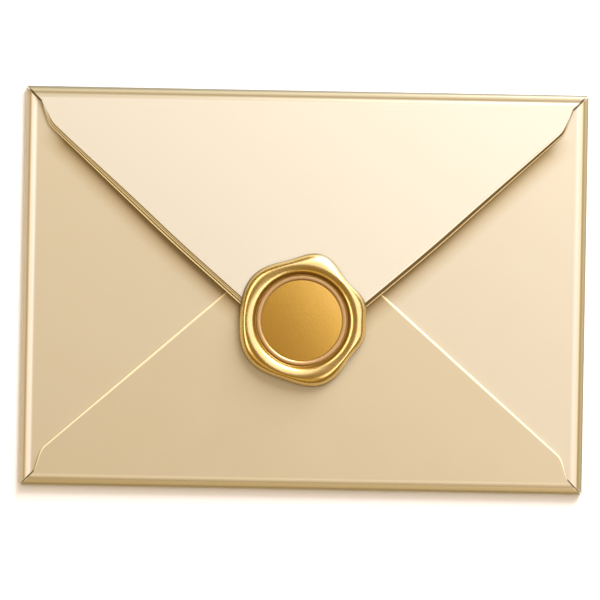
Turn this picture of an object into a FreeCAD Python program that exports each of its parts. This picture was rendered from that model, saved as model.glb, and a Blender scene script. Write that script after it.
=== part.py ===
import FreeCAD, Part
import math
import os

# A closed paper envelope lying on its front, flap side up, in millimetres.
# X runs along the long side, Y towards the fold of the top flap, Z up.
# The origin is under the middle of the front panel, on the surface it lies on.

# Outline of the closed envelope
envelope_width = 162.0
envelope_height = 115.0

# Card and the layers that it makes
card = 0.5                     # thickness of the card
pocket_gap = 1.4               # clear height inside the pocket
gum_film = 0.1                 # gum between the side flaps and the bottom flap
flap_clearance = 0.15          # top flap above the point of the bottom flap
corner_slit = 0.3              # gap between two flaps where they meet at a corner
mitre_depth = 4.2              # how far in from a corner the flaps are mitred
panel_lap = 2.0                # flat card that each fold shares with the front panel

# Rolled side folds: a tight nose, then a wide shoulder
side_rise = 25.0               # degrees left to turn where the nose ends
side_shoulder = 6.0            # radius of the shoulder

# Scored top and bottom folds: a nose, a score line behind it, then a shoulder
score_dip = 20.0               # degrees that the card turns down into the score
score_rise = 28.0              # degrees that it turns up again out of it
score_radius = 1.2             # radius at the bottom of the score
scored_shoulder = 2.4          # radius of the shoulder

# Side flaps, hidden under the other two apart from their middles
side_point = 76.0              # sharp point, from the side fold
side_point_radius = 10.0

# Bottom flap
bottom_point = 76.4            # sharp point, from the bottom fold
bottom_point_radius = 10.0
bottom_corner_in = 6.3         # its corners, from the side of the envelope
bottom_corner_down = 10.7      # and from the bottom fold
bottom_corner_radius = 5.0

# Top flap, with long edges that swell a little and a border pressed in two steps
top_point = 77.5
top_point_radius = 12.0
top_corner_in = 6.9
top_corner_down = 11.3
top_corner_radius = 6.0
top_swell = 0.9                # how far the middle of a long edge stands out
border_steps = 2
border_step_width = 1.0
border_step_drop = 0.15
belly_share = 0.4              # part of each half edge that the swelling's curve takes

# Gum seams
gum_inset = 1.0                # from the edges of the flaps
gum_width = 3.0

# Wax seal
seal_x = -0.5
seal_y = -8.7
seal_foot = 16.5               # radius of the poured wax without its lobes
# Each lobe: direction in degrees, how far it spreads, half its width in degrees
seal_lobes = (
    (16.0, 2.5, 18.5),
    (73.5, 3.4, 22.5),
    (140.5, 2.65, 33.0),
    (216.0, 2.6, 32.5),
    (289.0, 3.0, 29.0),
    (345.0, 2.1, 15.5),
)
seal_height = 3.3              # crest of the wax above the bottom flap
crest_radius = 15.9            # crest of its round roll, from the seal's middle
seal_stations = 60             # directions in which the wax's section is drawn
outer_bands = 14               # ruled bands from the edge up to the crest
inner_bands = 8                # and from the crest down to the print

# Print of the stamp in the wax: a crowned floor, a raised ring, a groove and a rim
print_radius = 13.6
rim_radius = 13.5
groove_radius = 13.2
ring_radius = 12.25
floor_radius = 11.65
ring_width = 0.36
groove_width = 0.26
rim_height = 2.2               # above the bottom flap
floor_depth = 0.55             # below the rim
floor_crown = 0.3              # how much higher the middle of the floor is
ring_depth = 0.12
groove_depth = 0.45

# Levels of the layers
side_flap_level = card + pocket_gap
side_flap_top = side_flap_level + card
bottom_flap_level = side_flap_top + gum_film
bottom_flap_top = bottom_flap_level + card

half_width = envelope_width / 2
half_height = envelope_height / 2
beyond = 2.0                   # how far cutting shapes reach past what they cut
UP = FreeCAD.Vector(0, 0, 1)
MIDDLE = FreeCAD.Vector(0, 0, 0)


def card_section(start, steps, outer, inner):
    """Face in the XZ plane of a strip of card that follows a path.

    The path starts at (x, z) and heads along X. A step is ("run", length) or
    ("bend", radius, degrees), positive to the left. The card reaches `outer` to
    the right of the path and `inner` to its left.
    """
    spot = FreeCAD.Vector(start[0], 0, start[1])
    heading = 0.0
    right_edges = []
    left_edges = []

    def left_of(angle):
        return FreeCAD.Vector(-math.sin(math.radians(angle)), 0, math.cos(math.radians(angle)))

    for step in steps:
        if step[0] == "run":
            ahead = FreeCAD.Vector(math.cos(math.radians(heading)), 0, math.sin(math.radians(heading)))
            end = spot + ahead * step[1]
            side = left_of(heading)
            right_edges.append(Part.LineSegment(spot - side * outer, end - side * outer).toShape())
            left_edges.append(Part.LineSegment(spot + side * inner, end + side * inner).toShape())
            spot = end
        else:
            radius, turn = step[1], step[2]
            signed = math.copysign(radius, turn)
            centre = spot + left_of(heading) * signed
            sides = [left_of(heading + turn * part) for part in (0, 0.5, 1)]
            right_edges.append(Part.Arc(*[centre - side * (signed + outer) for side in sides]).toShape())
            left_edges.append(Part.Arc(*[centre - side * (signed - inner) for side in sides]).toShape())
            heading += turn
            spot = centre - left_of(heading) * signed
    side = left_of(heading)
    first = left_of(0)
    begin = FreeCAD.Vector(start[0], 0, start[1])
    ends = [
        Part.LineSegment(spot - side * outer, spot + side * inner).toShape(),
        Part.LineSegment(begin - first * outer, begin + first * inner).toShape(),
    ]
    return Part.Face(Part.Wire(Part.__sortEdges__(right_edges + left_edges + ends)))


def rounded_edges(corners, plane):
    """Edges of a closed outline through corners (a, b, radius), with round corners.

    `plane` turns a pair of numbers into a point.
    """
    rounded = []
    count = len(corners)
    for index, (across, along, radius) in enumerate(corners):
        corner = plane(across, along)
        if radius == 0:
            rounded.append((corner, corner, corner))
            continue
        back = (plane(*corners[index - 1][:2]) - corner).normalize()
        onward = (plane(*corners[(index + 1) % count][:2]) - corner).normalize()
        half = back.getAngle(onward) / 2
        tangent = radius / math.tan(half)
        inward = (back + onward).normalize()
        middle = corner + inward * (radius / math.sin(half) - radius)
        rounded.append((corner + back * tangent, middle, corner + onward * tangent))
    edges = []
    for index, (first, middle, last) in enumerate(rounded):
        if first != last:
            edges.append(Part.Arc(first, middle, last).toShape())
        edges.append(Part.LineSegment(last, rounded[(index + 1) % count][0]).toShape())
    return edges


def prism(corners, low, high):
    """Upright prism between two levels over a plan of rounded corners."""
    edges = rounded_edges(corners, lambda x, y: FreeCAD.Vector(x, y, low))
    return Part.Face(Part.Wire(edges)).extrude(UP * (high - low))


def mirrored(half, point):
    """Outline of a flap from one half and its point, symmetrical about the X axis."""
    other = [(across, -along, radius) for across, along, radius in reversed(half)]
    return half + [point] + other


def flap_plan(reach, half_fold, point, corner=None, swell=0.0, inset=0.0):
    """Plan of a flap whose fold lies at X = reach and runs along Y.

    `point` is (sharp length, radius), and `corner` is (in, down, radius) or None for
    a flap that narrows from its mitres. `inset` moves the long edges inwards.
    """
    shift = corner_slit / math.sqrt(2)
    outside = (reach + beyond, half_fold + beyond - shift, 0)
    mitre = (reach - mitre_depth, half_fold - mitre_depth - shift, 0)
    apex_across = reach - point[0]
    if corner is None:
        start = mitre
        half = [outside, mitre]
    else:
        start = (reach - corner[1], half_fold - corner[0], corner[2])
        half = [outside, mitre, start]
    run_across = start[0] - apex_across
    run_along = start[1]
    edge_length = math.hypot(run_across, run_along)
    inward = (run_along / edge_length, -run_across / edge_length)
    if inset and corner is not None:
        half[-1] = (start[0] + inward[0] * inset, start[1] + inward[1] * inset, start[2])
    if inset and corner is None:
        half[-1] = (mitre[0], mitre[1] - inset * edge_length / run_across, 0)
    apex = (apex_across + inset * edge_length / run_along, 0, max(point[1] - inset, card))
    if swell:
        half_edge = edge_length / 2
        turn = 2 * math.atan(swell / half_edge)
        radius = belly_share * half_edge / math.tan(turn / 2)
        middle = ((half[-1][0] + apex[0]) / 2, half[-1][1] / 2)
        belly = (middle[0] - inward[0] * swell, middle[1] - inward[1] * swell, radius)
        half = half + [belly]
    return mirrored(half, apex)


def fold_steps(reach, level, dip, rise, score, shoulder, tilt=0.0):
    """Start and steps of a fold that carries a flap at `level` above the front panel.

    The nose takes the height that the score and the shoulder leave. The card then
    runs on, rising by `tilt` degrees, past the middle of the envelope.
    """
    down, up, out = (math.cos(math.radians(angle)) for angle in (dip, rise, tilt))
    nose = (level - score * (down - up) - shoulder * (out - up)) / (1 + down)
    start = (reach - card / 2 - nose - panel_lap, card / 2)
    steps = [("run", panel_lap), ("bend", nose, 180 + dip)]
    if dip + rise > 0:
        steps.append(("bend", score, -(dip + rise)))
    steps.append(("bend", shoulder, rise - tilt))
    steps.append(("run", 2 * reach))
    return start, steps


def flap(path, plan, half_fold, drop=0.0):
    """One flap with its fold, cut to its plan; `drop` lowers its upper face."""
    start, steps = path
    section = card_section(start, steps, card / 2 - drop, card / 2)
    section.translate(FreeCAD.Vector(0, -half_fold, 0))
    strip = section.extrude(FreeCAD.Vector(0, 2 * half_fold, 0))
    return strip.common(prism(plan, -beyond, envelope_height))


def turned(shape, degrees):
    """The shape turned about the envelope's middle."""
    shape.rotate(MIDDLE, UP, degrees)
    return shape


def top_flap_tilt():
    """Degrees that the top flap rises so that it clears the bottom flap's point."""
    half_angle = math.atan2(half_width - bottom_corner_in, bottom_point - bottom_corner_down)
    rounding = bottom_point_radius * (1 / math.sin(half_angle) - 1)
    run = envelope_height - mitre_depth - (bottom_point - rounding)
    return math.degrees(math.atan2(card + flap_clearance, run))


def side_plan(inset=0.0):
    """Plan of a side flap, with its fold at X = half_width."""
    return flap_plan(half_width, half_height, (side_point, side_point_radius), inset=inset)


def bottom_plan(inset=0.0):
    """Plan of the bottom flap, with its fold at X = half_height."""
    corner = (bottom_corner_in, bottom_corner_down, bottom_corner_radius)
    point = (bottom_point, bottom_point_radius)
    return flap_plan(half_height, half_width, point, corner, inset=inset)


def top_plan(inset=0.0):
    """Plan of the top flap, with its fold at X = half_height."""
    corner = (top_corner_in, top_corner_down, top_corner_radius)
    return flap_plan(half_height, half_width, (top_point, top_point_radius), corner, top_swell, inset)


def scored_path(tilt):
    """Path of a fold with a score line, at the top or the bottom of the envelope."""
    score = (score_dip, score_rise, score_radius)
    return fold_steps(half_height, bottom_flap_level, *score, scored_shoulder, tilt)


def top_flap_card(inset=0.0, drop=0.0):
    """The top flap in its place, narrower by `inset` and thinner by `drop`."""
    return turned(flap(scored_path(top_flap_tilt()), top_plan(inset), half_width, drop), 90)


def make_sheet():
    """The whole envelope, folded from one sheet of card."""
    side_path = fold_steps(half_width, side_flap_level, -side_rise, side_rise, 0.0, side_shoulder)
    bottom_path = scored_path(0.0)
    panel_x = side_path[0][0] + panel_lap
    panel_y = bottom_path[0][0] + panel_lap
    pieces = [
        turned(flap(side_path, side_plan(), half_height), 0),
        turned(flap(side_path, side_plan(), half_height), 180),
        turned(flap(bottom_path, bottom_plan(), half_width), 270),
    ]
    for step in range(border_steps + 1):
        pieces.append(top_flap_card((border_steps - step) * border_step_width, step * border_step_drop))
    corner = FreeCAD.Vector(-panel_x, -panel_y, 0)
    front_panel = Part.makeBox(2 * panel_x, 2 * panel_y, card, corner)
    return front_panel.fuse(pieces).removeSplitter()


def make_gum(side):
    """Gum seam between one side flap and the bottom flap; side is 1 or -1."""
    low, high = side_flap_top, bottom_flap_level
    under_bottom = prism(bottom_plan(gum_inset), low, high)
    past_seam = prism(bottom_plan(gum_inset + gum_width), low, high)
    band = turned(under_bottom.cut(past_seam), 270)
    seam = band.common(prism(side_plan(gum_inset), low, high))
    flat = Part.makeBox(half_width - mitre_depth, envelope_height - 2 * mitre_depth, high - low,
                        FreeCAD.Vector(0, mitre_depth - half_height, low))
    seam = seam.common(flat)
    return seam if side > 0 else seam.mirror(MIDDLE, FreeCAD.Vector(1, 0, 0))


def edge_of_wax(angle):
    """Radius of the poured wax in a direction: a foot with lobes that fade out."""
    radius = seal_foot
    for direction, spread, width in seal_lobes:
        away = (angle - direction + 180) % 360 - 180
        radius += spread * math.exp(-(away / width) ** 2)
    return radius


def wax_points(angle):
    """Points of the wax's section in a direction, from its edge in to its print.

    From its crest the wax falls in two quarter ellipses: outwards to its edge on the
    flap below, and inwards to the level of the print's rim.
    """
    points = []
    for band in range(outer_bands):
        fall = math.radians(90 * (1 - band / outer_bands))
        run = edge_of_wax(angle) - crest_radius
        points.append((crest_radius + run * math.sin(fall), seal_height * math.cos(fall)))
    for band in range(inner_bands + 1):
        fall = math.radians(90 * band / inner_bands)
        run = crest_radius - print_radius
        height = rim_height + (seal_height - rim_height) * math.cos(fall)
        points.append((crest_radius - run * math.sin(fall), height))
    spin = FreeCAD.Rotation(UP, angle)
    return [spin.multVec(FreeCAD.Vector(radius, 0, height)) for radius, height in points]


def poured_wax():
    """Blob of wax on Z = 0, flat on top inside the print's radius.

    Its skin is made of bands that run all the way round, smooth along their length
    and ruled across it.
    """
    rows = [wax_points(360.0 * station / seal_stations) for station in range(seal_stations)]
    bands = []
    for band in range(len(rows[0]) - 1):
        surface = Part.BSplineSurface()
        surface.buildFromPolesMultsKnots(
            [row[band:band + 2] for row in rows],
            [1] * (seal_stations + 1), [2, 2],
            list(range(seal_stations + 1)), [0, 1],
            True, False, 3, 1,
        )
        bands.append(surface.toShape())
    rims = [
        min(bands[0].Edges, key=lambda edge: edge.BoundBox.ZMax),
        min(bands[-1].Edges, key=lambda edge: edge.BoundBox.ZLength + edge.BoundBox.ZMax),
    ]
    caps = [Part.Face(Part.Wire([rim])) for rim in rims]
    shell = Part.makeShell(bands + caps)
    shell.sewShape()
    blob = Part.Solid(shell)
    if blob.Volume < 0:
        blob.reverse()
    return blob


def stamp_die():
    """The stamp whose print is left in the wax, as a turned solid."""
    floor = rim_height - floor_depth
    ring = rim_height - ring_depth
    groove = rim_height - groove_depth
    above = rim_height + beyond
    profile = [
        (floor_radius, floor),
        (ring_radius - ring_width / 2, ring),
        (ring_radius + ring_width / 2, ring),
        (groove_radius - groove_width / 2, groove),
        (groove_radius + groove_width / 2, groove),
        (rim_radius, rim_height),
        (rim_radius, above),
        (0, above),
    ]
    outline = [FreeCAD.Vector(radius, 0, height) for radius, height in profile]
    bow = (floor_radius ** 2 + floor_crown ** 2) / (2 * floor_crown)
    lean = math.asin(floor_radius / bow) / 2
    top = floor + floor_crown
    between = FreeCAD.Vector(bow * math.sin(lean), 0, top - bow * (1 - math.cos(lean)))
    crown = Part.Arc(UP * top, between, outline[0]).toShape()
    walls = Part.makePolygon(outline + [UP * top]).Edges
    return Part.Face(Part.Wire([crown] + walls)).revolve(MIDDLE, UP, 360)


def make_seal(sheet):
    """Wax seal over the point of the top flap, down to the bottom flap around it."""
    seal = poured_wax().cut(stamp_die())
    seal.translate(FreeCAD.Vector(seal_x, seal_y, bottom_flap_top))
    seal = seal.cut(sheet)
    gap_below = sheet.BoundBox.ZMax - card - bottom_flap_top
    layers_below = math.ceil(gap_below / card) + 1
    for layer in range(1, layers_below + 1):
        lower = top_flap_card()
        lower.translate(UP * (-layer * gap_below / layers_below))
        seal = seal.cut(lower)
    return seal


def main():
    os.makedirs("parts", exist_ok=True)
    sheet = make_sheet()
    nodes = {
        "envelope_sheet": sheet,
        "left_seam_gum": make_gum(-1),
        "right_seam_gum": make_gum(1),
        "wax_seal": make_seal(sheet),
    }
    for name, shape in nodes.items():
        shape.exportStep("parts/" + name + ".step")
        box = shape.BoundBox
        print(name, "solids", len(shape.Solids), "valid", shape.isValid(), "volume", round(shape.Volume, 2),
              "x", round(box.XMin, 2), round(box.XMax, 2), "y", round(box.YMin, 2), round(box.YMax, 2),
              "z", round(box.ZMin, 3), round(box.ZMax, 3))
    print("top flap rises", round(top_flap_tilt(), 2), "degrees")


main()
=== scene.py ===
# %% [markdown]
# A closed paper envelope with a wax seal.
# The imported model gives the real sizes: a folded sheet of card, two hidden seams of
# gum and a blob of wax. This file gives them their looks. The sheet and the wax are
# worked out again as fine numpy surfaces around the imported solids, because card
# shows its soft folds and pressed border only where the mesh is fine enough to
# bend the light. The camera comes next, so that each piece can be seen as it is made.

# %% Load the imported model
import math
import bpy
import bmesh
import numpy as np
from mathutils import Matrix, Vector


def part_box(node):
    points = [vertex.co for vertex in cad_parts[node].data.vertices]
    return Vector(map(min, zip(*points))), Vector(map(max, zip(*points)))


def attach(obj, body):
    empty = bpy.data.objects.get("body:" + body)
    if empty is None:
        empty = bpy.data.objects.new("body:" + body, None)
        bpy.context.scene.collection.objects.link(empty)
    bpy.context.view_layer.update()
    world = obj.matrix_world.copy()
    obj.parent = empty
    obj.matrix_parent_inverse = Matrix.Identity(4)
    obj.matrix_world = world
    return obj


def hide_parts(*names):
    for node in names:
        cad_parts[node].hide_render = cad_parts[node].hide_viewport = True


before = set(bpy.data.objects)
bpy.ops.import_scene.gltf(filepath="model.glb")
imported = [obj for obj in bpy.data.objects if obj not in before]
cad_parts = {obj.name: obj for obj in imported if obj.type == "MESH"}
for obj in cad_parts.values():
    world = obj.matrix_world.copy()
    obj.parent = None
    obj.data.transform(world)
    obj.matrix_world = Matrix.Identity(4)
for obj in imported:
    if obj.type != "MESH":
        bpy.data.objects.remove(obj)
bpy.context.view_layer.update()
MM = 0.001
scene = bpy.context.scene

# %% [markdown]
# The camera looks straight down from a little over half a metre, as over a table.
# The envelope lies turned by about a degree in the photograph, so the camera is
# turned by that much instead, and the part stays square to its own frame.

# %% Camera
camera_aim = Vector((-1.09, -2.83, 2.5)) * MM
camera_distance = 600 * MM
view_width = 172.4 * MM
camera_turn = math.radians(1.04)
sensor = 36.0

camera_data = bpy.data.cameras.new("camera")
camera_data.sensor_width = sensor
camera_data.lens = sensor * camera_distance / view_width
camera = bpy.data.objects.new("camera", camera_data)
camera.location = camera_aim + Vector((0, 0, camera_distance))
camera.rotation_euler = (0, 0, camera_turn)
scene.collection.objects.link(camera)
scene.camera = camera
scene.view_settings.view_transform = "Standard"
print("lens", round(camera_data.lens, 1), "mm")

# %% [markdown]
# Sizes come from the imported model. The gum lies between the side flaps and the
# bottom flap, so its box gives both of their levels, and the wax starts on top of
# the bottom flap, so the card's thickness is the step from the gum to the wax.

# %% Sizes from the frame
_, sheet_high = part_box("envelope_sheet")
gum_low, gum_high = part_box("right_seam_gum")
seal_low, seal_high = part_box("wax_seal")
half_width = sheet_high.x
half_height = sheet_high.y
bottom_level = gum_high.z
bottom_top = seal_low.z
card = bottom_top - bottom_level
side_level = gum_low.z - card
print("card", round(card / MM, 2), "levels", round(side_level / MM, 2), round(bottom_level / MM, 2))

# %% [markdown]
# Everything on an envelope is a run or a bend: the section of a fold is a nose, a
# score line and a shoulder, and the outline of a flap is straight edges with round
# corners. They could be drawn as curves with handles. Runs and radii are what a die
# maker works from, so one helper walks along them and gives points and headings.

# %% A walk along runs and bends
def walk(start, heading, steps):
    """Points and headings along steps of (length, turn, pieces), turns to the left.

    A piece of a bend turns by the same angle as the others. Its chord is its length
    times sin(half its turn) / (half its turn), and it lies half a turn past the
    heading at its start, so sums of chords are exact points of the arc.
    """
    lengths, turns, counts = (np.array(column, float) for column in zip(*steps))
    counts = counts.astype(int)
    turn = np.repeat(turns / counts, counts)
    chord = np.repeat(lengths / counts, counts) * np.sinc(turn / 2 / math.pi)
    headings = heading + np.append(0, np.cumsum(turn))
    middle = headings[:-1] + turn / 2
    moves = np.stack([np.cos(middle), np.sin(middle)], axis=1) * chord[:, None]
    points = np.array(start) + np.append(np.zeros((1, 2)), np.cumsum(moves, axis=0), axis=0)
    return points, headings


def bend(radius, degrees, pieces):
    """One bend as a step of the walk."""
    return radius * abs(math.radians(degrees)), math.radians(degrees), pieces


# %% [markdown]
# Card doesn't crease to a sharp line. At the sides it rolls over a tight nose into
# a wide shoulder. At the top and the bottom it was scored first, so behind the nose
# there is a shallow groove. A bevelled box would look round from outside only, so
# the card's middle line is walked instead, and both faces are set off from it. The
# nose takes whatever height the rest leaves.

# %% Sections of the folds
side_fold = dict(reach=half_width, half_fold=half_height, level=side_level,
                 dip=-25, rise=25, score=0.0, shoulder=6 * MM)
scored_fold = dict(reach=half_height, half_fold=half_width, level=bottom_level,
                   dip=20, rise=28, score=1.2 * MM, shoulder=2.4 * MM)


def fold_section(reach, level, dip, rise, score, shoulder, tilt=0.0, **_):
    """Middle line of the card round a fold, from the front panel to the flap."""
    down, up, out = (math.cos(math.radians(angle)) for angle in (dip, rise, tilt))
    nose = (level - score * (down - up) - shoulder * (out - up)) / (1 + down)
    steps = [bend(nose, 180 + dip, 22)]
    if score:
        steps.append(bend(score, -(dip + rise), 12))
    steps.append(bend(shoulder, rise - tilt, 12))
    return walk((reach - card / 2 - nose, card / 2), 0.0, steps)


line, _ = fold_section(**scored_fold)
print("scored fold is", round((half_height - line[-1, 0]) / MM, 2), "mm deep")

# %% [markdown]
# A flap's outline starts at the mitre, where two folds meet at a corner, steps in to
# the flap's own corner, runs along the cut edge and ends in a round tip. Half of it
# is enough, because a flap is the same on both sides. The top flap's edges swell a
# little, which is a very wide bend in the middle of them.

# %% Outlines of the flaps
corner_slit = 0.3 * MM
mitre_depth = 4.2 * MM
mitre_radius = 1.5 * MM
shift = corner_slit / math.sqrt(2)
belly_share = 0.4
finest_turn = math.radians(5)


def mitred(x, reach, half_fold):
    """Half the width of a flap near its fold: the mitre runs at 45 degrees."""
    return half_fold - (reach - x) - shift


def half_outline(corners, spacing):
    """Points and headings of half a flap through corners (across, along, radius).

    Each round corner takes radius times tan(half its turn) off both of its edges.
    The last corner is the tip: the walk ends on the flap's middle line, square to it.
    """
    spots, radii = np.array(corners)[:, :2], np.array(corners)[1:, 2]
    legs = np.diff(spots, axis=0)
    headings = np.arctan2(legs[:, 1], legs[:, 0])
    turns = np.append(np.diff(headings), -math.pi / 2 - headings[-1])
    halves = np.append(np.abs(turns[:-1]) / 2, turns[-1])
    taken = radii * np.tan(halves)
    runs = np.hypot(*legs.T) - taken - np.append(0, taken[:-1])
    steps = []
    for run, turn, radius in zip(runs, turns, radii):
        arc = radius * abs(turn)
        steps.append((run, 0.0, max(2, math.ceil(run / spacing))))
        steps.append((arc, turn, max(math.ceil(abs(turn) / finest_turn), math.ceil(arc / spacing))))
    return walk(spots[0], headings[0], steps)


def flap_corners(fold, start, point, corner=None, swell=0.0):
    """Corners of half a flap, from where its shoulder ends to its tip."""
    reach, half_fold = fold["reach"], fold["half_fold"]
    mitre = (reach - mitre_depth, mitred(reach - mitre_depth, reach, half_fold), mitre_radius)
    corners = [(start, mitred(start, reach, half_fold), 0.0), mitre]
    if corner:
        corners.append((reach - corner[1], half_fold - corner[0], corner[2]))
    tip = (reach - point[0], 0.0, point[1])
    if swell:
        before, after = np.array(corners[-1][:2]), np.array(tip[:2])
        edge = after - before
        length = np.hypot(*edge)
        outward = np.array([-edge[1], edge[0]]) / length
        middle = (before + after) / 2 - outward * swell
        radius = belly_share * (length / 2) ** 2 / (2 * swell)
        corners.append((middle[0], middle[1], radius))
    return corners + [tip]


print("mitre", round(mitre_depth / MM, 1), "mm deep, slit", round(corner_slit / MM, 1), "mm wide")

# %% [markdown]
# Across a flap, the card is a closed loop: its outer face, a rounded cut edge, its
# inner face and the other edge. A Solidify modifier would give it thickness, but the
# same face on both sides, and a border is pressed into one of them only. So columns
# of the mesh crowd together at the edge, where the border and the cut are. The
# border of the top flap is pressed down in two steps; the bottom flap's edge is only
# pressed round.

# %% Loop of columns around the card
border = 2.8 * MM
edge_columns = np.array([2.8, 2.4, 2.1, 1.9, 1.82, 1.74, 1.66, 1.58, 1.5, 1.35, 1.1, 0.9,
                         0.78, 0.7, 0.62, 0.54, 0.46, 0.36, 0.26, 0.16, 0.08, 0.04, 0.012, 0.0]) * MM
middle_columns = 26
cut_radius = 0.08 * MM
# Each riser of the border: the inset where it is full, where it ends, and its height, in mm
risers = ((1.5, 1.82, 0.16), (0.46, 0.78, 0.15))

inset = np.concatenate((edge_columns, edge_columns[::-1]))
outer_side = np.repeat([True, False], len(edge_columns))
across_middle = np.linspace(1, -1, middle_columns + 1)[1:-1]
loop_share = np.concatenate((np.ones(len(inset)), across_middle, -np.ones(len(inset)), -across_middle))
loop_inset = np.concatenate((inset, np.full(middle_columns - 1, border),
                             inset, np.full(middle_columns - 1, border)))
loop_outer = np.concatenate((outer_side, np.full(middle_columns - 1, False),
                             ~outer_side, np.full(middle_columns - 1, True)))
print("columns round the card", len(loop_share))


def smooth_step(low, high, value):
    """0 below low, 1 above high, and 3t^2 - 2t^3 between."""
    t = np.clip((value - low) / (high - low), 0, 1)
    return t * t * (3 - 2 * t)


def pressed_border(inset):
    """How far the top flap's face is pressed down: the sum of its risers."""
    return sum(height * MM * (1 - smooth_step(low * MM, high * MM, inset)) for low, high, height in risers)


def pressed_edge(inset):
    """How far the bottom flap's face is pressed down: a quarter of a flat ellipse."""
    wide, deep = 0.6 * MM, 0.2 * MM
    t = np.clip(1 - inset / wide, 0, 1)
    return deep * (1 - np.sqrt(1 - t * t))


def plain_edge(inset):
    """A side flap's face isn't pressed."""
    return np.zeros_like(inset)


# %% [markdown]
# A flap could be cut from a flat sheet with booleans and then bent, but that leaves
# long thin faces just where the card curves. Here it is one grid: its rows go round
# the fold and on to the tip, its columns go round the card. Near a corner of the
# envelope the border narrows, as it does where the two folds squeeze it.

# %% One flap as a grid
border_taper = 9 * MM
border_reach = 48 * MM
narrowest = 0.3
tapered_width = 0.7


def flap_grid(fold, point, corner, swell, pressed, tilt, spacing, panel_limit):
    """Grid of points (rows, columns, 3) in the flap's own frame, and values for its look.

    Each point is the middle line, plus the card's normal times its height in the
    card. Its place along the fold is a share of half the width less its inset. The
    values are the inset, how full the border is, and the distance from the fold.
    """
    line, headings = fold_section(tilt=tilt, **fold)
    start = line[-1, 0]
    corners = flap_corners(fold, start, point, corner, swell)
    outline, turned = half_outline(corners, spacing)
    walked = np.append(0, np.cumsum(np.hypot(*np.diff(outline, axis=0).T)))
    grown = smooth_step(0, border_taper, walked)
    widening = smooth_step(border_taper, border_reach, walked)
    width = narrowest + (tapered_width - narrowest) * grown + (1 - tapered_width) * widening
    inward = np.stack([-np.sin(turned), np.cos(turned)], axis=1) * grown[:, None]
    inward[:, 1] -= 1 - grown
    inward /= np.hypot(*inward.T)[:, None]
    inward *= width[:, None]

    into_cut = np.maximum(cut_radius - loop_inset, 0)
    rounding = cut_radius - np.sqrt(np.maximum(cut_radius ** 2 - into_cut ** 2, 0))
    fold_rows = len(line) - 1
    press = np.append(np.zeros(fold_rows), grown)[:, None]
    top = card / 2 - rounding - pressed(loop_inset) * press
    height = np.where(loop_outer, top, rounding - card / 2)
    height[0] = np.where(loop_outer, card / 2, -card / 2)

    flat_x = outline[:, :1] + inward[:, :1] * loop_inset
    flat_along = loop_share * (outline[:, 1:] + inward[:, 1:] * loop_inset)
    flat_z = line[-1, 1] + (start - flat_x) * math.tan(math.radians(tilt))
    lean = math.radians(tilt)
    normal = np.stack([np.sin(headings[:-1]), -np.cos(headings[:-1])], axis=1)
    fold_x = line[:-1, :1] + normal[:, :1] * height[:fold_rows]
    fold_z = line[:-1, 1:] + normal[:, 1:] * height[:fold_rows]
    half = mitred(fold_x, fold["reach"], fold["half_fold"])
    half[0] = np.minimum(half[0], panel_limit)
    narrow = narrowest * loop_inset * np.append(0, np.ones(fold_rows - 1))[:, None]
    narrow[0] = narrowest * np.where(loop_inset >= cut_radius, loop_inset, 0)
    fold_along = loop_share * (half - narrow)

    x = np.append(fold_x, flat_x + height[fold_rows:] * math.sin(lean), axis=0)
    z = np.append(fold_z, flat_z + height[fold_rows:] * math.cos(lean), axis=0)
    along = np.append(fold_along, flat_along, axis=0)
    looks = dict(inset=loop_inset / MM, full=press, from_fold=(fold["reach"] - x) / MM)
    looks = {key: np.broadcast_to(value, x.shape) for key, value in looks.items()}
    return np.stack([x, along, z], axis=2), looks


print("border narrows to", narrowest, "and is whole from", round(border_reach / MM), "mm on")

# %% [markdown]
# The blank of an envelope is cut by one die, so its four flaps have the same kind of
# outline and differ in a few sizes. A table of those is easier to read and to change
# than four drawings. The top flap lies over the bottom one, so it rises a little.

# %% Shapes of the four flaps
def flap_tilt(reach, half_fold, point, corner):
    """Degrees that the top flap rises to clear the bottom flap's tip."""
    clearance = 0.15 * MM
    half_angle = math.atan2(half_fold - corner[0], point[0] - corner[1])
    rounding = point[1] * (1 / math.sin(half_angle) - 1)
    run = 2 * reach - mitre_depth - (point[0] - rounding)
    return math.degrees(math.atan2(card + clearance, run))


bottom_shape = dict(point=(76.4 * MM, 10 * MM), corner=(6.3 * MM, 10.7 * MM, 5 * MM))
top_shape = dict(point=(77.5 * MM, 12 * MM), corner=(6.9 * MM, 11.3 * MM, 6 * MM))
top_swell = 0.9 * MM
top_spacing = 0.9 * MM
side_shape = dict(point=(76 * MM, 10 * MM), corner=None)
tilt = flap_tilt(half_height, half_width, bottom_shape["point"], bottom_shape["corner"])
print("top flap rises", round(tilt, 2), "degrees")

panel_x = fold_section(**side_fold)[0][0, 0]
panel_y = fold_section(**scored_fold)[0][0, 0]
panel_margin = 0.05 * MM

side_flap = dict(fold=side_fold, swell=0.0, pressed=plain_edge, tilt=0.0, spacing=1.8 * MM,
                 panel_limit=panel_y - panel_margin, **side_shape)
# Each flap's share of the paler tone is a painted sheen, highest on the top flap, where the light catches
# it most
flaps = [
    dict(name="right", turn=0, painted_sheen=0.55, **side_flap),
    dict(name="left", turn=180, painted_sheen=0.3, **side_flap),
    dict(name="bottom", turn=270, painted_sheen=0.2, fold=scored_fold, swell=0.0, pressed=pressed_edge,
         tilt=0.0, spacing=1.1 * MM, panel_limit=panel_x - panel_margin, **bottom_shape),
    dict(name="top", turn=90, painted_sheen=1.0, fold=scored_fold, swell=top_swell, pressed=pressed_border,
         tilt=tilt, spacing=top_spacing, panel_limit=panel_x - panel_margin, **top_shape),
]

# %% [markdown]
# A mesh is a list of points and a list of faces that name them by number. The grids
# are made apart from each other, so a patchwork gathers them, counts their points on
# and welds those that meet. Values at the points tell the material later where each
# point lies, such as how far it is from the cut edge.

# %% Mesh helpers
weld_gap = 0.0005 * MM


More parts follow.
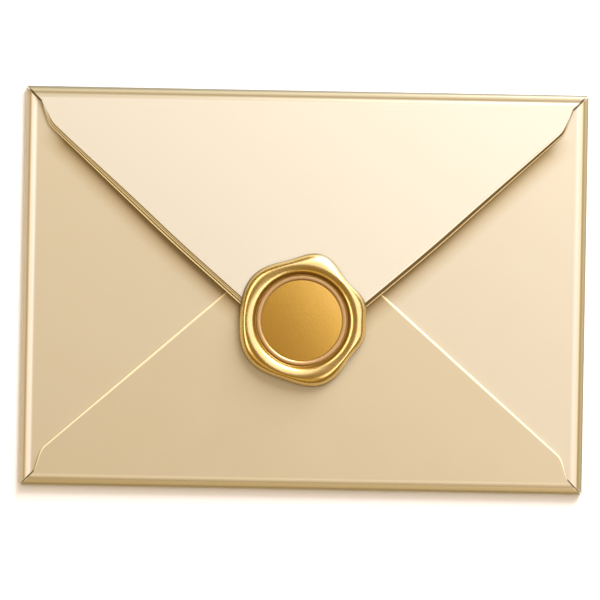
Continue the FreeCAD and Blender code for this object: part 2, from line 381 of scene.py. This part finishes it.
def grid_faces(rows, columns, first, closed):
    """Quads of a grid whose points are numbered row by row from `first`."""
    index = first + np.arange(rows * columns).reshape(rows, columns)
    if closed:
        index = np.append(index, index[:, :1], axis=1)
    quads = np.stack([index[:-1, :-1], index[:-1, 1:], index[1:, 1:], index[1:, :-1]], axis=2)
    return quads.reshape(-1, 4)


def turned_about_z(points, degrees):
    """Points turned about the Z axis."""
    c, s = math.cos(math.radians(degrees)), math.sin(math.radians(degrees))
    return points @ np.array([[c, s, 0], [-s, c, 0], [0, 0, 1]])


def mesh_object(name, points, faces, attributes, weld):
    """A smooth mesh from arrays, its doubles welded and its faces turned outwards."""
    mesh = bpy.data.meshes.new(name)
    mesh.from_pydata(points.tolist(), [], faces)
    for key, values in attributes.items():
        mesh.attributes.new(key, "FLOAT", "POINT").data.foreach_set("value", values.astype(np.float32))
    work = bmesh.new()
    work.from_mesh(mesh)
    bmesh.ops.remove_doubles(work, verts=work.verts, dist=weld)
    bmesh.ops.dissolve_degenerate(work, edges=work.edges, dist=weld / 10)
    bmesh.ops.recalc_face_normals(work, faces=work.faces)
    open_edges = sum(1 for edge in work.edges if len(edge.link_faces) != 2)
    triangles = sum(len(face.verts) - 2 for face in work.faces)
    work.to_mesh(mesh)
    work.free()
    mesh.shade_smooth()
    made = bpy.data.objects.new(name, mesh)
    scene.collection.objects.link(made)
    print(name, "triangles", triangles, "edges without two faces", open_edges)
    return made


class Patchwork:
    """Points, faces and values at the points, gathered from several patches."""

    def __init__(self):
        self.points, self.faces, self.values, self.count = [], [], {}, 0

    def add(self, points, faces, **values):
        """Adds one patch; its faces are numbered from its own first point."""
        for face in faces:
            self.faces.append([number + self.count for number in face])
        self.points.append(points)
        for key, value in values.items():
            self.values.setdefault(key, []).append(np.broadcast_to(value, len(points)))
        self.count += len(points)

    def mesh(self, name, weld):
        """All the patches as one object."""
        values = {key: np.concatenate(parts) for key, parts in self.values.items()}
        return mesh_object(name, np.concatenate(self.points), self.faces, values, weld)


print("welds points closer than", round(weld_gap / MM, 4), "mm")

# %% [markdown]
# The four flaps and the front panel are one sheet. As five objects they would meet
# in hard lines, so they become one mesh: each grid is turned into place, its loops of
# faces are joined on, and the rows that the panel shares with them are welded.

# %% The whole sheet
# Values of plain card, away from every fold and edge; distances are in mm
plain_looks = dict(inset=3.0, from_fold=9.0, bordered=0.0, slit=0.0, painted_sheen=0.3,
                   left=0.0, bottom=0.0, top=0.0, east=0.0)
# How far in from the cut edge the slits' painted shade reaches, in mm, and how much further it runs along
# the top flap's border
slit_inset = 0.05
border_slit = 0.3
nanometre_digits = 9


def build_sheet():
    """The folded sheet: four flaps, the two faces of the front panel, and its corners."""
    sheet = Patchwork()
    shared = {}
    for flap in flaps:
        shape = {key: value for key, value in flap.items() if key not in ("name", "turn", "painted_sheen")}
        grid, looks = flap_grid(**shape)
        rows, columns = grid.shape[:2]
        full = looks.pop("full")
        looks["bordered"] = full * (flap["pressed"] is pressed_border)
        width = narrowest + (1 - narrowest) * full
        slit_reach = slit_inset + border_slit * looks["bordered"].max()
        looks["slit"] = (1 - full) * (looks["inset"] * width < slit_reach)
        # How much paler the flap is painted, as a painted sheen
        looks["painted_sheen"] = np.full((rows, columns), flap["painted_sheen"])
        # Which flap a point is on, so each fold gets its own painted highlights and shade
        for side in ("left", "bottom", "top"):
            looks[side] = np.full((rows, columns), float(flap["name"] == side))
        points = turned_about_z(grid.reshape(-1, 3), flap["turn"])
        # Which half a point is on, for the gilt border's painted shade and highlights
        looks["east"] = (points[:, 0] > 0).astype(float)
        sheet.add(points, grid_faces(rows, columns, 0, True).tolist(),
                  **{key: value.ravel() for key, value in looks.items()})
        edge = grid[0, :, 1].max()
        end = flap["panel_limit"] + panel_margin
        shared[flap["turn"]] = np.append(np.unique(np.round(grid[0, :, 1], nanometre_digits)), [-end, end])
        for side in (1, -1):
            wall = np.array([[grid[0, 0, 0], side * along, z] for along, z in
                             ((edge, 0), (end, 0), (end, card), (edge, card))])
            sheet.add(turned_about_z(wall, flap["turn"]), [[0, 1, 2, 3]], **plain_looks)
    x, y = np.meshgrid(np.sort(shared[90]), np.sort(shared[0]))
    for z in (0.0, card):
        panel = np.stack([x, y, np.full_like(x, z)], axis=2).reshape(-1, 3)
        sheet.add(panel, grid_faces(*x.shape, 0, False).tolist(), **plain_looks)
    return sheet.mesh("paper_sheet", weld=weld_gap)


paper_sheet = build_sheet()
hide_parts("envelope_sheet")
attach(paper_sheet, "root")

# %% [markdown]
# Sealing wax is poured molten and pressed with a stamp. It runs out into soft lobes,
# and the stamp squeezes up one round roll of wax between its rim and the edge. It
# could be sculpted or simulated, but then no lobe could be moved by itself. A circle
# with one bell curve per lobe is simpler and just as soft. The wax starts on the
# bottom flap, but over the tip of the top flap it starts higher, so the level of the
# card under it comes first.

# %% Wax seal: its edge and the card below it
seal_middle = np.array([-0.5, -8.7]) * MM
seal_foot = 16.5
# Each lobe: its direction in degrees, how far it spreads in mm, half its width in degrees
seal_lobes = np.array([
    (16.0, 2.5, 18.5),
    (73.5, 3.4, 22.5),
    (140.5, 2.65, 33.0),
    (216.0, 2.6, 32.5),
    (289.0, 3.0, 29.0),
    (345.0, 2.1, 15.5),
])
directions = 300
around = np.arange(directions) * 360 / directions


def edge_of_wax(angle):
    """Radius of the edge by direction in degrees: a foot plus a bell curve per lobe."""
    direction, spread, width = seal_lobes.T[:, :, None]
    away = (angle - direction + 180) % 360 - 180
    return seal_foot + (spread * np.exp(-(away / width) ** 2)).sum(axis=0)


def card_below(x, y):
    """Level of the card under a point: the top flap inside its outline, else the bottom flap."""
    line, _ = fold_section(tilt=tilt, **scored_fold)
    start = line[-1, 0]
    corners = flap_corners(scored_fold, start, top_shape["point"], top_shape["corner"], top_swell)
    outline, _ = half_outline(corners, top_spacing)
    half = np.interp(y, outline[::-1, 0], outline[::-1, 1], left=-1)
    on_flap = line[-1, 1] + card / 2 + (start - y) * math.tan(math.radians(tilt))
    return np.where(np.abs(x) < half, on_flap, bottom_top)


edge = edge_of_wax(around) * MM
rise = card_below(seal_middle[0] + edge * np.cos(np.radians(around)),
                  seal_middle[1] + edge * np.sin(np.radians(around))) - bottom_top
print("wax reaches", round(edge.max() / MM, 2), "mm")
print("over the top flap it starts up to", round(rise.max() / MM, 2), "mm higher")

# %% [markdown]
# The section of the wax is one smooth spline through a row of control points. From
# its crest it falls in two quarter ellipses, outwards to the card and inwards to the
# stamp's print: a shelf, a groove, a raised ring and a crowned floor. A profile of
# straight lines turned on a lathe would be sharp everywhere, and real wax flows back
# a little when the stamp is lifted, so all its hard corners are rounded.

# %% Wax seal: section
seal_height = (seal_high.z - seal_low.z) / MM
crest_radius = 15.9
print_radius = 13.6
rim_height = 2.2
floor_height = 1.65
floor_radius = 11.65
floor_crown = 0.3
floor_stations = (11.5, 11.2, 10.6, 9.0, 6.0, 3.0, 1.0)
# Rim, groove and ring of the print: (radius, height above the bottom flap) in mm
print_controls = [(13.6, 2.24), (13.52, 2.12), (13.44, 1.84), (13.3, 1.66), (13.12, 1.66),
                  (12.95, 1.75), (12.7, 1.85), (12.48, 1.9), (12.28, 1.91), (12.08, 1.89),
                  (11.92, 1.83), (11.8, 1.74), (11.66, 1.65)]
outer_controls, inner_controls = 12, 8
steepest_fall = 78
section_samples = 230


def spline_weights(count, samples, degree=3):
    """Weights of control points at even samples of a clamped B-spline.

    Degree 0 is 1 inside a point's own span. Each higher degree is the sum of two
    neighbours, each times a ramp over its own knots (Cox and de Boor).
    """
    spans = count - degree
    just_inside = 1 - 1e-9
    knots = np.concatenate((np.zeros(degree), np.arange(spans + 1), np.full(degree, spans)))
    t = np.linspace(0, spans * just_inside, samples)[:, None]
    weights = ((knots[:-1] <= t) & (t < knots[1:])).astype(float)
    for order in range(1, degree + 1):
        many = len(knots) - 1 - order
        up = knots[order:order + many] - knots[:many]
        down = knots[order + 1:order + 1 + many] - knots[1:1 + many]
        rising = np.divide(t - knots[:many], up, where=up > 0, out=np.zeros((samples, many)))
        falling = np.divide(knots[order + 1:order + 1 + many] - t, down, where=down > 0,
                            out=np.zeros((samples, many)))
        weights = rising * weights[:, :many] + falling * weights[:, 1:many + 1]
    return weights


def wax_controls(edge, rise):
    """Control points (directions, points, 2) of the section, from the edge to the middle.

    The outer ellipse starts where its height equals `rise`, so its fall from the
    crest starts at the angle whose cosine is rise / height.
    """
    fall = np.arccos(rise / seal_height) * np.linspace(1, 0, outer_controls + 1)[:-1, None]
    outer = np.stack([crest_radius + (edge - crest_radius) * np.sin(fall),
                      seal_height * np.cos(fall)], axis=2)
    fall = np.radians(np.linspace(0, steepest_fall, inner_controls))[:, None]
    inner = np.stack([crest_radius - (crest_radius - print_radius) * np.sin(fall),
                      rim_height + (seal_height - rim_height) * np.cos(fall)], axis=2)
    floor = [(r, floor_height + floor_crown * (1 - (r / floor_radius) ** 2)) for r in floor_stations]
    stamped = np.array([*print_controls, *floor, (0.0, floor[-1][1])])
    fixed = np.broadcast_to(stamped[:, None], (len(stamped), len(edge), 2))
    inner = np.broadcast_to(inner, (inner.shape[0], len(edge), 2))
    return np.concatenate((outer, inner, fixed)).transpose(1, 0, 2)


controls = wax_controls(edge / MM, rise / MM)
weights = spline_weights(controls.shape[1], section_samples)
section = np.einsum("sp,apc->asc", weights, controls)
print("wax is", round(section[..., 1].max(), 2), "mm high and its widest lobe reaches",
      round(section[..., 0].max(), 2), "mm")

# %% [markdown]
# The section is carried round the middle, its underside follows the card below, and
# the last row is welded to the first. A Screw modifier would carry one section round
# unchanged, but here each direction has its own edge. The values at its points mark
# the disc, the ring, the print and the foot, because each has a finish of its own;
# the print and the foot also carry painted shade.

# %% Wax seal: mesh
# Where one finish turns into the next: radii, and for the foot heights above the card, in mm
disc_edge = (11.35, 11.55)
ring_inside = (11.75, 11.95)
ring_outside = (12.45, 12.85)
print_edge = (13.9, 14.3)
foot_top = (0.7, 1.7)
under_columns = 29


def build_seal():
    """The wax: its section carried round, and its underside."""
    under = np.linspace(0, 1, under_columns + 1)[:-1, None] * np.array([1.0, 0.0])
    under = under[None] * section[:, :1]
    loop = np.append(under, section, axis=1)
    angle = np.radians(around)[:, None]
    x = seal_middle[0] + loop[..., 0] * np.cos(angle) * MM
    y = seal_middle[1] + loop[..., 0] * np.sin(angle) * MM
    floor_level = card_below(x, y)
    z = np.maximum(seal_low.z + loop[..., 1] * MM, floor_level)
    points = np.stack([x, y, z], axis=2)
    points = np.append(points, points[:1], axis=0)
    rows, columns = points.shape[:2]
    radius = np.append(loop[..., 0], loop[:1, :, 0], axis=0)
    height = points[..., 2] / MM - np.append(floor_level, floor_level[:1], axis=0) / MM
    in_ring = smooth_step(*ring_inside, radius) * (1 - smooth_step(*ring_outside, radius))
    at_foot = (1 - smooth_step(*foot_top, height)) * (radius > crest_radius)
    seal = Patchwork()
    seal.add(points.reshape(-1, 3), grid_faces(rows, columns, 0, False).tolist(),
             disc=1 - smooth_step(*disc_edge, radius).ravel(), ring=in_ring.ravel(),
             print=1 - smooth_step(*print_edge, radius).ravel(), foot=at_foot.ravel())
    return seal.mesh("wax_blob", weld=weld_gap)


wax_blob = build_seal()
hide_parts("wax_seal")
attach(wax_blob, "root")

# %% [markdown]
# Colours are written as they look on a screen and turned to the linear values that
# the shaders count in. A node could be added and linked by hand in the editor, but a
# script can be read and run again. One small helper adds a node, with its settings
# and links.

# %% Colour and node helpers
def linear(hex_colour):
    """sRGB hex as linear colour, without transparency."""
    channels = [int(hex_colour[i:i + 2], 16) / 255 for i in (1, 3, 5)]
    return [c / 12.92 if c <= 0.04045 else ((c + 0.055) / 1.055) ** 2.4 for c in channels] + [1.0]


def add(tree, kind, inputs=None, **settings):
    """Adds a node; settings are its own, inputs are values or sockets to link."""
    made = tree.nodes.new("ShaderNode" + kind)
    for key, value in settings.items():
        setattr(made, key, value)
    for key, value in (inputs or {}).items():
        if isinstance(value, bpy.types.NodeSocket):
            tree.links.new(value, made.inputs[key])
        else:
            made.inputs[key].default_value = value
    return made


def new_material(name, **sockets):
    """A material with its Principled shader's constant sockets set."""
    material = bpy.data.materials.new(name)
    material.use_nodes = True
    shader = material.node_tree.nodes["Principled BSDF"]
    for key, value in sockets.items():
        shader.inputs[key.replace("_", " ")].default_value = value
    return material, material.node_tree, shader


print("grey #808080 is", round(linear("#808080")[0], 3), "in linear light")

# %% [markdown]
# Three things come back in every material here: a colour that follows a distance, a
# mix of two colours, and a value scaled from one range to another. Each gets a
# small helper, so the materials below read like their recipes.

# %% Bands, mixes and ramps
widest_band = 4.0


def colour_bands(tree, distance, bands, reach=widest_band):
    """Colours along a distance in mm, from a list of (distance, colour)."""
    place = add(tree, "Math", {0: distance, 1: 1 / reach}, operation="MULTIPLY")
    made = add(tree, "ValToRGB", {"Fac": place.outputs[0]})
    stops = made.color_ramp.elements
    for spot, colour in bands[1:-1]:
        stops.new(spot / reach).color = linear(colour)
    for stop, (spot, colour) in ((stops[0], bands[0]), (stops[-1], bands[-1])):
        stop.position, stop.color = spot / reach, linear(colour)
    return made.outputs["Color"]


def mixed(tree, share, first, second, blend="MIX"):
    """Colour that turns from the first to the second as share goes from 0 to 1."""
    return add(tree, "Mix", {0: share, 6: first, 7: second}, data_type="RGBA", blend_type=blend).outputs[2]


def ramp(tree, value, low, high, at_low=0.0, at_high=1.0):
    """Straight ramp of a value between two levels."""
    made = add(tree, "MapRange", {"Value": value, 1: low, 2: high, 3: at_low, 4: at_high})
    return made.outputs["Result"]


def product(tree, first, second):
    """Two values multiplied."""
    return add(tree, "Math", {0: first, 1: second}, operation="MULTIPLY").outputs[0]


print("bands reach", widest_band, "mm")

# %% [markdown]
# Pearl card is paper with a coat of mica in a clear binder. The paper gives a warm
# beige, the coat a pale sheen with soft edges. Some flaps are painted paler than
# others, as a painted sheen where the light catches them more. The highlights and
# shade that the light gives each fold are painted as bands by distance, one list a
# side, because each side of the envelope turns another way to the light. The border
# is gilded in fine lines, and the shade of its pressed steps and the highlights on
# them are painted into the gilt, with a list for each half, because the light falls
# on the two halves differently. Distances work at every size of picture, where a
# painted image would blur.

# %% Tones of the card
# The paper's beige, and the paler cream that is mixed in by flap as a painted sheen
card_beige = linear("#BCAE8C")
painted_sheen_cream = linear("#CEC8B6")
# Pale cut rim: partly the paler paper of the cut, partly a painted highlight where the edge catches the
# light
rim_cream_and_highlight = linear("#EADAB4")
# Dark brown painted into the corner slits as the shade inside them
slit_shadow_brown = linear("#6A5228")
# Gilt lines with painted shade on the border's steps and painted highlights between them,
# by distance in from the cut edge of the top flap, in mm: left half, then right half,
# which differ because the light falls on the two halves differently
west_gilt_and_shading = [(0.0, "#947A48"), (0.08, "#C8B078"), (0.18, "#DCC890"), (0.4, "#D4C08C"),
              (0.5, "#6E5A30"), (0.74, "#6E5A30"), (0.84, "#CEBC8C"), (1.02, "#C4B280"),
              (1.12, "#746030"), (1.28, "#746030"), (1.36, "#CEBA88"), (1.5, "#C4B07C"),
              (1.58, "#6E5A30"), (1.74, "#8A764A")]
east_gilt_and_shading = [(0.0, "#F0CC88"), (0.12, "#DCBC7C"), (0.28, "#8E7644"), (0.42, "#5E4C20"),
              (0.55, "#544014"), (1.0, "#544014"), (1.12, "#7A6840"), (1.26, "#DCD4BE"),
              (1.44, "#ECE4CE"), (1.74, "#E8E0CA")]
# Painted shade by distance outwards from the edge of the top flap, in mm; white leaves the card as it is
painted_shade_bands = [(0.0, "#B3A276"), (0.8, "#B5A57F"), (1.2, "#BFB090"), (1.6, "#CBBEA7"), (2.5, "#E1D7C8"),
              (4.0, "#F3EEE6"), (6.0, "#FFFFFF")]
# Painted highlights and shade by distance from the outside of each fold, in mm, one list a side
painted_fold_shading = {
    "right": [(0.0, "#857452"), (0.3, "#877653"), (0.6, "#9C8E6E"), (0.9, "#978863"), (1.2, "#857749"),
              (1.5, "#87794A"), (1.8, "#C0B392"), (2.4, "#D2C2A8"), (3.0, "#D7CCBC"), (3.9, "#CEC2AE")],
    "left": [(0.0, "#D6D0BE"), (0.5, "#C8C0AA"), (0.9, "#B8AD94"), (1.2, "#A2916F"), (1.5, "#96825C"),
             (1.8, "#CDBEA4"), (2.2, "#E8DECC"), (3.0, "#EEE8DC"), (3.4, "#D8CEBA"), (3.9, "#BEB092")],
    "bottom": [(0.0, "#A89A74"), (0.6, "#AA9C76"), (0.9, "#AD9C6F"), (1.2, "#B4A579"), (1.5, "#988454"),
               (1.9, "#927F55"), (2.2, "#A4946C"), (2.6, "#E0D8BE"), (3.1, "#EAE2CA"), (3.9, "#C4B694")],
    "top": [(0.0, "#68634F"), (0.3, "#68624F"), (0.6, "#7A7258"), (0.9, "#948A6C"), (1.3, "#B8AE8C"),
            (1.6, "#BCB090"), (1.9, "#B2A686"), (2.3, "#A2967A"), (2.8, "#A0957A"), (3.3, "#AEA48E"),
            (3.9, "#CEC8B6")],
}
print("fold tones", {side: len(bands) for side, bands in painted_fold_shading.items()})

# %% [markdown]
# Beside the top flap the card below gets less of the room's light, in a strip of a
# few millimetres. A studio lamp in the scene casts that strip on one side of the
# flap only, so a soft shade is painted there on both sides, as a tone by distance
# from its edges. The distance is worked out in the material, from the same sizes as
# the flap's outline.

# %% Painted shade beside the top flap
painted_shade_reach = 6.0
painted_shade_fade = 0.07


def painted_flap_shade(tree, where):
    """Painted shade beside the top flap's long edges, and its share, from Object coordinates.

    With the width taken as |x|, both edges are one line. A point's distance outwards
    is its offset from the flap's corner along the line's normal, less the swell: a
    tent over the line, which is highest in its middle.
    """
    corner = np.array([half_width - top_shape["corner"][0], half_height - top_shape["corner"][1]])
    run = np.array([0.0, half_height - top_shape["point"][0]]) - corner
    length = np.hypot(*run)
    outward = np.array([-run[1], run[0]]) / length
    x, y, z = add(tree, "SeparateXYZ", {0: where}).outputs
    across = add(tree, "Math", {0: x}, operation="ABSOLUTE").outputs[0]
    folded = add(tree, "CombineXYZ", {0: across, 1: y}).outputs[0]
    offset = add(tree, "VectorMath", {0: folded, 1: (*corner, 0)}, operation="SUBTRACT").outputs[0]
    outside, share = (
        add(tree, "VectorMath", {0: offset, 1: (*axis, 0)}, operation="DOT_PRODUCT").outputs["Value"]
        for axis in (outward / MM, run / length ** 2))
    tent = add(tree, "Math", {0: share, 1: 0.5}, operation="PINGPONG").outputs[0]
    swell = product(tree, tent, 2 * top_swell / MM)
    distance = add(tree, "Math", {0: outside, 1: swell}, operation="SUBTRACT").outputs[0]
    raised = add(tree, "Math", {0: z, 1: side_level}, operation="GREATER_THAN").outputs[0]
    shade = colour_bands(tree, distance, painted_shade_bands, painted_shade_reach)
    return shade, product(tree, raised, ramp(tree, share, 0.0, painted_shade_fade))


print("shade beside the top flap fades over", painted_shade_reach, "mm")

# %% [markdown]
# The material follows the order in which the card was made, with painted light laid
# in between: paper and coat, with a painted sheen; the folds, with their painted
# highlights and shade; the pale cut rim, with a painted highlight; the painted shade
# beside the top flap; the gilt lines of its border, with painted shade and highlights;
# and the slits at the corners, painted dark as shade. Paper fibre is a few hundredths
# of a millimetre wide, far finer than a pixel, so it is a bump, drawn as coarse as it
# needs to show.

# %% Pearl card
fibre_size = 0.9 * MM
fibre_depth = 0.02 * MM
mottle_size = 12 * MM
mottle_strength = 0.06
# Distances in mm between which one tone turns into the next
fold_end = (3.3, 3.95)
rim_end = (0.5, 0.72)
gilt_end = (1.76, 1.88)

pearl_card, tree, shader = new_material(
    "coated_pearl_card", IOR=1.5, Roughness=0.4, Metallic=0.3,
    Coat_Weight=0.25, Coat_Roughness=0.3, Coat_IOR=1.6)
where = add(tree, "TexCoord").outputs["Object"]
fibre = add(tree, "TexNoise", {"Vector": where, "Scale": 1 / fibre_size, "Detail": 3.0})
mottle = add(tree, "TexNoise", {"Vector": where, "Scale": 1 / mottle_size, "Detail": 2.0})
look = {key: add(tree, "Attribute", attribute_name=key).outputs["Fac"] for key in plain_looks}
mottled = ramp(tree, mottle.outputs["Fac"], 0.0, 1.0, -mottle_strength, mottle_strength)
# Painted sheen: the flap's share of the paler cream, with a random mottle
sheen = add(tree, "Math", {0: look["painted_sheen"], 1: mottled}, operation="ADD", use_clamp=True).outputs[0]
paper = mixed(tree, sheen, card_beige, painted_sheen_cream)
# Painted highlights and shade along each fold, one list a side, mixed over the paper near the fold
bands = colour_bands(tree, look["from_fold"], painted_fold_shading["right"])
for side in ("left", "bottom", "top"):
    bands = mixed(tree, look[side], bands, colour_bands(tree, look["from_fold"], painted_fold_shading[side]))
folded = mixed(tree, ramp(tree, look["from_fold"], *fold_end, 1.0, 0.0), paper, bands)
# The cut rim is painted pale: paler paper of the cut and a painted highlight
edged = mixed(tree, ramp(tree, look["inset"], *rim_end, 1.0, 0.0), folded, rim_cream_and_highlight)
# Painted shade beside the top flap, multiplied over the card below it
flap_shade_paint, painted_shade_share = painted_flap_shade(tree, where)
below = product(tree, painted_shade_share, ramp(tree, look["top"], 0.0, 1.0, 1.0, 0.0))
shaded = mixed(tree, below, edged, flap_shade_paint, blend="MULTIPLY")
# Gilt lines of the border, with painted shade and highlights that differ on each half
gilt = product(tree, ramp(tree, look["inset"], *gilt_end, 1.0, 0.0), look["bordered"])
gilt_and_painted_light = mixed(tree, look["east"], colour_bands(tree, look["inset"], west_gilt_and_shading),
                colour_bands(tree, look["inset"], east_gilt_and_shading))
gilded = mixed(tree, gilt, shaded, gilt_and_painted_light)
# The corner slits are painted dark brown as shade
colour = mixed(tree, look["slit"], gilded, slit_shadow_brown)
grainy = add(tree, "Bump", {"Height": fibre.outputs["Fac"], "Strength": 0.12, "Distance": fibre_depth})
tree.links.new(colour, shader.inputs["Base Color"])
tree.links.new(grainy.outputs["Normal"], shader.inputs["Normal"])
paper_sheet.data.materials.clear()
paper_sheet.data.materials.append(pearl_card)
print(pearl_card.name, "nodes", len(tree.nodes))

# %% [markdown]
# Metallic sealing wax is wax full of gold pigment. Where it set freely it is smooth
# and shines like metal. Under the stamp it took the stamp's fine satin grain, and
# where it is thin, at its foot and on the ring, more wax than metal shows. The foot
# is also painted dark, as shade where the wax meets the card, and the print between
# the ring and the roll is painted a darker gold, as shade in its groove. One material
# with values at the points does this, as it is one piece of wax; separate materials
# would leave hard borders between them. The stamp's grain is about a tenth of a
# millimetre, finer than a pixel, so it too is drawn coarser than it is.

# %% Gold sealing wax
wax_gold = linear("#F8E6A8")
wax_deep = linear("#E6C474")
# Dark wax at the foot, darker still as painted shade where the wax meets the card
foot_wax_and_shade = linear("#64501F")
disc_gold = linear("#F5C964")
print_rose = linear("#BA976C")
# Darker gold in the print outside the ring, painted as shade in its groove
groove_shade_gold = linear("#A07E3A")
grain_size = 0.6 * MM
grain_depth = 0.04 * MM
swirl_size = 6 * MM
glossy, satin, disc_satin = 0.23, 0.45, 0.3
ring_metal = 0.5

gold_wax, tree, shader = new_material(
    "metallic_sealing_wax", Metallic=1.0, Coat_Weight=0.5, Coat_Roughness=0.12, Coat_IOR=1.5)
where = add(tree, "TexCoord").outputs["Object"]
disc, ring, printed_area, foot = (
    add(tree, "Attribute", attribute_name=key).outputs["Fac"]
    for key in ("disc", "ring", "print", "foot"))
grain = add(tree, "TexNoise", {"Vector": where, "Scale": 1 / grain_size, "Detail": 4.0})
swirl = add(tree, "TexNoise", {"Vector": where, "Scale": 1 / swirl_size, "Detail": 2.0})
hue = mixed(tree, swirl.outputs["Fac"], wax_gold, wax_deep)
# The foot takes its dark colour: thin wax and painted shade
edged = mixed(tree, foot, hue, foot_wax_and_shade)
# In the print the groove is painted darker gold as shade, and the ring takes its rose
printed = mixed(tree, ring, mixed(tree, printed_area, edged, groove_shade_gold), print_rose)
stamped = mixed(tree, disc, printed, disc_gold)
grained = add(tree, "Bump", {"Height": product(tree, grain.outputs["Fac"], disc),
                             "Strength": 0.6, "Distance": grain_depth})
tree.links.new(stamped, shader.inputs["Base Color"])
touched = add(tree, "Math", {0: printed_area, 1: foot}, operation="MAXIMUM").outputs[0]
dull = ramp(tree, touched, 0.0, 1.0, glossy, satin)
rough = add(tree, "Mix", {0: disc, 2: dull, 3: disc_satin}).outputs[0]
metal = product(tree, ramp(tree, foot, 0.0, 1.0, 1.0, 0.0), ramp(tree, ring, 0.0, 1.0, 1.0, ring_metal))
tree.links.new(rough, shader.inputs["Roughness"])
tree.links.new(metal, shader.inputs["Metallic"])
tree.links.new(grained.outputs["Normal"], shader.inputs["Normal"])
wax_blob.data.materials.clear()
wax_blob.data.materials.append(gold_wax)
print(gold_wax.name, "nodes", len(tree.nodes))

# %% [markdown]
# The gum seams lie hidden between the flaps: a dull, clear, slightly yellow film with
# faint streaks from the roller that laid it on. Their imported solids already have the
# width and the thickness of the film, so no new mesh is made for them.

# %% Gum
streak_size = 2 * MM
gum_film, tree, shader = new_material("dried_gum_film", Roughness=0.6)
where = add(tree, "TexCoord").outputs["Object"]
streak = add(tree, "TexNoise", {"Vector": where, "Scale": 1 / streak_size, "Detail": 2.0})
gum_tone = mixed(tree, streak.outputs["Fac"], linear("#D8C89C"), linear("#C8B586"))
tree.links.new(gum_tone, shader.inputs["Base Color"])
for name in ("left_seam_gum", "right_seam_gum"):
    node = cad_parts[name]
    node.data.materials.clear()
    node.data.materials.append(gum_film)
print(gum_film.name, "nodes", len(tree.nodes))

# %% [markdown]
# A pearl card and gold wax show mostly what they mirror, so the lamps are shaped
# as carefully as the part. The key is a wide softbox high on the upper right, and it
# lights the whole card. The spot stands low behind it and is small and strong: it
# gives the disc its bright side and the wax its highlights. Long soft ones on the
# left, right and front light the folds and the other sides of the wax. The floor is
# plain matte white. A room of one warm tone stands in for the studio's walls,
# because gold looks grey where it has nothing warm to mirror.

# %% Floor and lights
bpy.ops.mesh.primitive_plane_add(size=4.0, location=(0, 0, 0))
floor = bpy.context.object
floor.name = "floor"
floor_white, _, _ = new_material("matte_white_floor", Roughness=0.9, Base_Color=linear("#F6F6F6"))
floor.data.materials.append(floor_white)


def softbox(name, azimuth, from_vertical, distance, width, length, radiance, colour):
    """A rectangular light that faces the envelope; its power is radiance times pi times its area.

    The angles are in degrees, from +X round Z and from straight up, and the sizes in metres.
    """
    light = bpy.data.lights.new(name, "AREA")
    light.shape = "RECTANGLE"
    light.size, light.size_y = width, length
    light.energy = radiance * math.pi * width * length
    light.color = linear(colour)[:3]
    a, t = math.radians(azimuth), math.radians(from_vertical)
    direction = Vector((math.cos(a) * math.sin(t), math.sin(a) * math.sin(t), math.cos(t)))
    made = bpy.data.objects.new(name, light)
    made.location = direction * distance
    made.rotation_euler = direction.to_track_quat("Z", "Y").to_euler()
    scene.collection.objects.link(made)


softbox("key", 34, 31.5, 1.0, 2.0, 1.0, 1.21, "#F9F5FF")
softbox("spot", 62, 66, 0.8, 0.44, 0.54, 20.5, "#F6F8FF")
softbox("left", 165, 44, 1.0, 1.35, 0.4, 2.0, "#FFF4E0")
softbox("right", -48, 40, 1.0, 0.5, 0.35, 1.6, "#FFF4E0")
softbox("front", 240, 46, 1.0, 1.3, 0.3, 0.55, "#FFD890")

world = bpy.data.worlds.new("studio")
world.use_nodes = True
backdrop = world.node_tree.nodes["Background"]
backdrop.inputs["Color"].default_value = linear("#FFCC6C")
backdrop.inputs["Strength"].default_value = 0.27
scene.world = world
print("lights", [light.name for light in bpy.data.lights])
